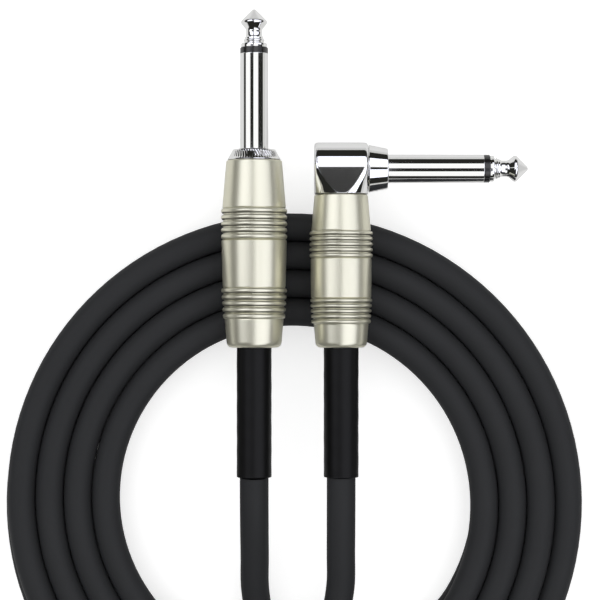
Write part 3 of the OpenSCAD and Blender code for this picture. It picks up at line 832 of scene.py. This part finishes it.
class CABLE_OT_head(bpy.types.Operator):
    """Shapes the right-angle plug's head and its screwed neck"""

    bl_idname = "instrument_cable.head"
    bl_label = "Right-Angle Head"

    def execute(self, context):
        jack, finish = sizes(context).jack, sizes(context).finish
        steps = HEAD_STEPS
        verts, faces, lookup = [], [], {}
        axes = [((1, 0, 0), (0, 1, 0), (0, 0, 1)), ((-1, 0, 0), (0, 0, 1), (0, 1, 0)),
                ((0, 1, 0), (0, 0, 1), (1, 0, 0)), ((0, -1, 0), (1, 0, 0), (0, 0, 1)),
                ((0, 0, 1), (1, 0, 0), (0, 1, 0)), ((0, 0, -1), (0, 1, 0), (1, 0, 0))]

        def corner(way):
            key = tuple(round(c, 5) for c in way)
            if key not in lookup:
                lookup[key] = len(verts)
                verts.append(self.outward(way))
            return lookup[key]

        for main, across, up in (tuple(Vector(a) for a in face) for face in axes):
            grid = [[corner(main + across * (2 * i / steps - 1) + up * (2 * j / steps - 1))
                     for j in range(steps + 1)] for i in range(steps + 1)]
            for i in range(steps):
                for j in range(steps):
                    faces.append((grid[i][j], grid[i + 1][j], grid[i + 1][j + 1], grid[i][j + 1]))
        place = ON_ANGLE_BARREL
        normals = [self.normal(p) for p in verts]
        turned = [place @ Vector((p.x * MM, -p.z * MM, p.y * MM)) for p in verts]
        head = mesh_piece("angle_head_block", turned, faces, 180)
        spin = place.to_3x3()
        head.data.normals_split_custom_set_from_vertices(
            [(spin @ Vector((n.x, -n.z, n.y))).normalized() for n in normals])
        dress(head, chrome(finish), "cable", "jack_chrome", "angle_head")
        neck = thread("angle_thread", place, ANGLE_THREAD_R, jack,
                      ANGLE_HEAD_BOTTOM - 0.02, ANGLE_THREAD_END, 3.4)
        dress(neck, turned_metal(finish), "cable", "jack_chrome")
        return {"FINISHED"}

    def outward(self, way):
        """The point of the head's surface in a direction from its middle."""
        centre = Vector((0, -0.2, 0))
        low, high = 0.0, 14.0
        unit = Vector(way).normalized()
        for _ in range(36):
            middle = (low + high) / 2
            if head_depth(*(centre + unit * middle)) > 0:
                high = middle
            else:
                low = middle
        return centre + unit * low

    def normal(self, p):
        """The way in which the depth grows fastest, from differences over a small step."""
        d = 0.004
        return Vector([
            head_depth(*(p + Vector(axis) * d)) - head_depth(*(p - Vector(axis) * d))
            for axis in ((1, 0, 0), (0, 1, 0), (0, 0, 1))
        ]).normalized()


def rib_group(barrel, at, pitch, crest):
    """Rounded ribs as (distance from the front, radius, painted shade), the shade darkest on each rib's
    rear wall.
    """
    depth, count = barrel.rib_depth / MM, barrel.rib_count
    made = []
    for i in range(count):
        top = blend(crest[0], crest[1], i / (count - 1)) / 2
        share = LAST_RIB_PAINTED_SHADE if i == count - 1 else 1
        for j, painted_shade in enumerate(RIB_PAINTED_SHADE):
            a = math.radians(180 - 15 * j)
            x = at + i * pitch + RIB_HALF_WIDTH * pitch * math.cos(a)
            made.append((x, top - depth * (1 - math.sin(a)), painted_shade * share))
    return made


def plain_stretch(x0, x1, diameters, steps=6):
    """A stretch without ribs, with a support point beside each end."""
    edge = 0.03 / (x1 - x0)
    stops = [0, edge] + [i / steps for i in range(1, steps)] + [1 - edge, 1]
    return [(blend(x0, x1, t), blend(*diameters, t) / 2) for t in stops]


def barrel_outline(barrel, form, length, cavity):
    """Whole section of a barrel as (distance, radius, painted shade), from its front and back along the
    bore.
    """
    front, middle, rear, bore_r = form["front"], form["middle"], form["rear"], form["bore_r"]
    front_edge, rear_edge = form["front_edge"], form["rear_edge"]
    groups = list(zip(form["ribs_at"], form["pitch"], form["crests"]))
    (start_a, end_a), (start_b, end_b) = [
        (at - RIB_MARGIN * pitch, at + ((barrel.rib_count - 1) * pitch + RIB_MARGIN * pitch))
        for at, pitch, _ in groups]
    outside = (
        arc(front_edge, front[0] / 2 - front_edge, front_edge, 180, 92, 7)
        + plain_stretch(front_edge + 0.1, start_a, (front[0] + 0.02, front[1]))
        + rib_group(barrel, *groups[0])
        + plain_stretch(end_a, start_b, middle)
        + rib_group(barrel, *groups[1])
        + plain_stretch(end_b, length - rear_edge - 0.1, (rear[0], rear[1] + 0.05))
        + arc(length - rear_edge, rear[1] / 2 - rear_edge, rear_edge, 86, 0, 10)
    )
    inside = [(length, REAR_BORE_R + 0.25), (length - 0.08, REAR_BORE_R + 0.08),
              (length - 0.25, REAR_BORE_R), (cavity, REAR_BORE_R), (cavity, bore_r), (0.25, bore_r)]
    return [(*point, 0)[:3] for point in [(0, bore_r + 0.25)] + outside + inside]


class CABLE_OT_barrels(bpy.types.Operator):
    """Turns both ribbed barrels"""

    bl_idname = "instrument_cable.barrels"
    bl_label = "Barrels"

    def execute(self, context):
        barrel, finish = sizes(context).barrel, sizes(context).finish
        material, around = satin_nickel(finish), BARREL_STEPS
        for side, place, form, length, front, cavity_end in (
                ("straight", ON_STRAIGHT, STRAIGHT_BARREL, barrel.straight_length,
                 STRAIGHT_BARREL_FRONT, STRAIGHT_CAVITY_END),
                ("angle", ON_ANGLE_BARREL, ANGLE_BARREL, barrel.angle_length,
                 ANGLE_BARREL_FRONT, ANGLE_CAVITY_END)):
            outline = barrel_outline(barrel, form, length / MM, front - cavity_end)
            turned = [(front - x, r) for x, r, _ in outline][::-1]
            piece = lathe(side + "_barrel_turned", turned, place, closed=True, around=around, sharp=50)
            # Painted shade for each ring of the outline, kept as a point attribute that darkens the
            # barrel colour on the rib walls.
            painted_shade = [point[2] for point in reversed(outline) for _ in range(around)]
            piece.data.attributes.new("painted_shade", "FLOAT", "POINT").data.foreach_set("value", painted_shade)
            dress(piece, material, side + "_barrel", "satin_nickel", side + "_barrel")
        return {"FINISHED"}


class CABLE_OT_inside(bpy.types.Operator):
    """Finishes the pieces inside the barrels"""

    bl_idname = "instrument_cable.inside"
    bl_label = "Inner Pieces"

    def execute(self, context):
        finish = sizes(context).finish
        slots = {s["node"]: s["material_slot"] for s in frame["record"]["subparts"]}
        for name, piece in frame["nodes"].items():
            if piece.hide_render:
                continue
            slot = slots[name]
            material = cable_jacket(finish) if slot == "cable_jacket" else inner_material(slot)
            for place in piece.material_slots:
                place.material = material
        return {"FINISHED"}


class CABLE_OT_stage(bpy.types.Operator):
    """Lays the pale floor and sets the soft light"""

    bl_idname = "instrument_cable.stage"
    bl_label = "Stage"

    def execute(self, context):
        stage = sizes(context).stage
        half = stage.floor_size / 2
        corners = [(-half, -half, 0), (half, -half, 0), (half, half, 0), (-half, half, 0)]
        floor = mesh_piece("floor", [Vector(c) for c in corners], [(0, 1, 2, 3)])
        floor.data.materials.append(self.floor_material())
        context.scene.world = self.world(stage.level)
        context.scene.view_settings.view_transform = "Standard"
        return {"FINISHED"}

    def floor_material(self):
        """Pale paint, a little darker further out, and brightened where it is seen or mirrored."""
        material = bpy.data.materials.new("pale_floor")
        material.use_nodes = True
        tree = material.node_tree
        shader = tree.nodes["Principled BSDF"]
        way = node(tree, "ShaderNodeTexCoord", (-800, 200))
        reach = node(tree, "ShaderNodeVectorMath", (-600, 200), operation="LENGTH")
        tree.links.new(way.outputs["Object"], reach.inputs[0])
        paint = node(tree, "ShaderNodeMapRange", (-400, 200))
        for title, value in (("From Min", 0.11), ("From Max", 0.19), ("To Min", 0.72), ("To Max", 0.58)):
            paint.inputs[title].default_value = value
        tree.links.new(reach.outputs["Value"], paint.inputs["Value"])
        tree.links.new(paint.outputs["Result"], shader.inputs["Base Color"])
        shader.inputs["Roughness"].default_value = 0.9
        shader.inputs["Specular IOR Level"].default_value = 0.1
        shader.inputs["Emission Color"].default_value = (1, 1, 1, 1)
        path = node(tree, "ShaderNodeLightPath")
        mirrored = maths(tree, "MULTIPLY", path.outputs["Is Glossy Ray"], FLOOR_MIRRORED)
        seen = maths(tree, "MULTIPLY_ADD", path.outputs["Is Camera Ray"], FLOOR_SEEN, mirrored)
        tree.links.new(seen, shader.inputs["Emission Strength"])
        return material

    def world(self, level):
        """A sky for soft light, and for the metal to mirror, soft boxes with dark gaps between them."""
        world = bpy.data.worlds.new("studio")
        world.use_nodes = True
        world.cycles.sampling_method = "NONE"
        tree = world.node_tree
        link = tree.links.new
        tree.nodes.clear()
        out = node(tree, "ShaderNodeOutputWorld", (900, 0))
        light = node(tree, "ShaderNodeBackground", (700, 0))
        light.inputs["Strength"].default_value = level
        way = node(tree, "ShaderNodeTexCoord", (-1100, 0))
        split = node(tree, "ShaderNodeSeparateXYZ", (-900, 0))
        link(way.outputs["Generated"], split.inputs[0])
        x, y, z = split.outputs
        # A small dark flag straight above, which only the level face of the head mirrors
        flag = maths(tree, "MULTIPLY", self.within(tree, x, *TOP_FLAG_X),
                     self.within(tree, y, *TOP_FLAG_Y))
        flag = maths(tree, "MULTIPLY", flag, maths(tree, "GREATER_THAN", z, 0.5))
        mirrored = self.either(tree, flag, self.boxes(tree, x, y, z), (0.042, 0.042, 0.042, 1))
        # The sky is brightest straight above
        sky = maths(tree, "MULTIPLY_ADD", maths(tree, "MULTIPLY", z, z), SKY_RISE, SKY_RIM)
        path = node(tree, "ShaderNodeLightPath", (200, -200))
        lit = self.either(tree, path.outputs["Is Glossy Ray"], sky, mirrored)
        link(self.either(tree, path.outputs["Is Camera Ray"], lit, (1, 1, 1, 1)), light.inputs["Color"])
        link(light.outputs[0], out.inputs["Surface"])
        return world

    def boxes(self, tree, x, y, z):
        """Long soft boxes with dark gaps between them, as each jack and the barrels mirror them."""
        side, along = maths(tree, "ARCTAN2", x, z), maths(tree, "ARCTAN2", y, z)
        left, right, box = (1.55, 1.57, 1.74, 1), (1.38, 1.4, 1.56, 1), (1.06, 1.06, 1.06, 1)
        gap, far = (0.02, 0.02, 0.018, 1), (0.6, 0.6, 0.58, 1)
        # Directions in which each jack's shaft, level and seen from the camera, mirrors its surroundings
        straight = self.within(tree, y, *STRAIGHT_JACK_Y)
        angle = self.within(tree, x, *ANGLE_JACK_X)
        turned = maths(tree, "SUBTRACT", along, math.radians(BOX_TURN))
        across = maths(tree, "MULTIPLY_ADD", straight, maths(tree, "SUBTRACT", side, turned), turned)
        jacks = self.strips(tree, across, far, [
            (-98, far), (-97, gap), (-71, gap), (-70, box), (-31, box), (-30, gap), (-5, gap),
            (-4, box), (34, box), (35, gap), (78, gap), (79, box), (84, far)])
        barrels = self.strips(tree, side, far, [
            (-98, far), (-97, gap), (-60, gap), (-58, left), (-10, left), (-9, gap), (-1, gap),
            (0, right), (66, right), (68, gap), (90, gap), (91, far)])
        # The tips and the edges of the head mirror what lies further along
        beyond = maths(tree, "GREATER_THAN", maths(tree, "ABSOLUTE", y), TIP_Y)
        tips = self.strips(tree, side, far, [
            (-98, far), (-97, gap), (-52, gap), (-50, left), (-20, left), (-19, gap), (-4, gap),
            (-3, right), (50, right), (52, gap), (90, gap), (91, far)])
        above = maths(tree, "GREATER_THAN", z, 0.06)
        ends = maths(tree, "GREATER_THAN", maths(tree, "ABSOLUTE", along), math.radians(BOX_END))
        ends = maths(tree, "MULTIPLY", ends, self.within(tree, x, *END_X))
        # There is no box where the head's left shoulder looks, nor between it and the level face
        shoulder = maths(tree, "MULTIPLY", maths(tree, "LESS_THAN", x, -0.02),
                         maths(tree, "LESS_THAN", y, maths(tree, "MULTIPLY", x, 0.22)))
        beside = maths(tree, "MULTIPLY", self.within(tree, x, *SHOULDER_X),
                       maths(tree, "LESS_THAN", y, SHOULDER_Y))
        # A thin flag that the collar mirrors along its top
        collar = maths(tree, "MULTIPLY", self.within(tree, x, *COLLAR_FLAG_X),
                       self.within(tree, y, *COLLAR_FLAG_Y))
        flags = maths(tree, "MAXIMUM", maths(tree, "MAXIMUM", shoulder, beside), collar)
        dark = maths(tree, "MULTIPLY", above, maths(tree, "MAXIMUM", ends, flags))
        low = maths(tree, "MULTIPLY", ends, maths(tree, "SUBTRACT", 1.0, above))
        shown = self.either(tree, dark, self.either(tree, beyond, barrels, tips), gap)
        shown = self.either(tree, low, shown, far)
        return self.either(tree, maths(tree, "MAXIMUM", straight, angle), shown, jacks)

    def strips(self, tree, turn, far, stops):
        """Colours set by an angle from 120 degrees one way to 120 degrees the other."""
        made = node(tree, "ShaderNodeValToRGB")
        ramp = made.color_ramp
        ramp.elements[0].color = far
        ramp.elements[1].color = far
        for degrees, colour in stops:
            stop = ramp.elements.new((degrees + 120) / 240)
            stop.color = colour
        tree.links.new(maths(tree, "MULTIPLY_ADD", turn, 1 / math.radians(240), 0.5), made.inputs["Fac"])
        return made.outputs["Color"]

    def either(self, tree, mask, off, on):
        """The first colour where the mask is 0 and the second where it is 1."""
        made = node(tree, "ShaderNodeMix", data_type="RGBA")
        tree.links.new(mask, made.inputs["Factor"])
        for title, value in (("A", off), ("B", on)):
            if isinstance(value, tuple):
                made.inputs[title].default_value = value
            else:
                tree.links.new(value, made.inputs[title])
        return made.outputs["Result"]

    def within(self, tree, value, low, high):
        """1 where the value lies between two limits."""
        return maths(tree, "MULTIPLY", maths(tree, "GREATER_THAN", value, low),
                     maths(tree, "LESS_THAN", value, high))


OPERATORS = (
    CABLE_OT_camera, CABLE_OT_cord, CABLE_OT_sleeves, CABLE_OT_tips, CABLE_OT_shafts, CABLE_OT_head,
    CABLE_OT_barrels, CABLE_OT_inside, CABLE_OT_stage,
)


class CABLE_PT_sidebar(bpy.types.Panel):
    """Lists the sizes and the steps that build the cable"""

    bl_idname = "CABLE_PT_sidebar"
    bl_label = "Instrument Cable"
    bl_space_type = "VIEW_3D"
    bl_region_type = "UI"
    bl_category = "Instrument Cable"

    def draw(self, context):
        settings = sizes(context)
        for title in ("jack", "barrel", "cable", "finish", "stage"):
            box = self.layout.box()
            group = getattr(settings, title)
            box.label(text=title.capitalize())
            for key in group.bl_rna.properties.keys():
                if key not in ("rna_type", "name"):
                    box.prop(group, key)
        for operator in OPERATORS:
            self.layout.operator(operator.bl_idname)


CLASSES = (JackSizes, BarrelSizes, CableSizes, Finishes, StageSettings, InstrumentCable,
           *OPERATORS, CABLE_PT_sidebar)


def register():
    for each in CLASSES:
        bpy.utils.register_class(each)
    bpy.types.Scene.instrument_cable = PointerProperty(type=InstrumentCable)


def unregister():
    del bpy.types.Scene.instrument_cable
    for each in reversed(CLASSES):
        bpy.utils.unregister_class(each)


def main():
    register()
    steps = bpy.ops.instrument_cable
    for step in (steps.camera, steps.cord, steps.sleeves, steps.tips, steps.shafts, steps.head,
                 steps.barrels, steps.inside, steps.stage):
        step()
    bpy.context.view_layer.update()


if __name__ == "__main__":
    main()
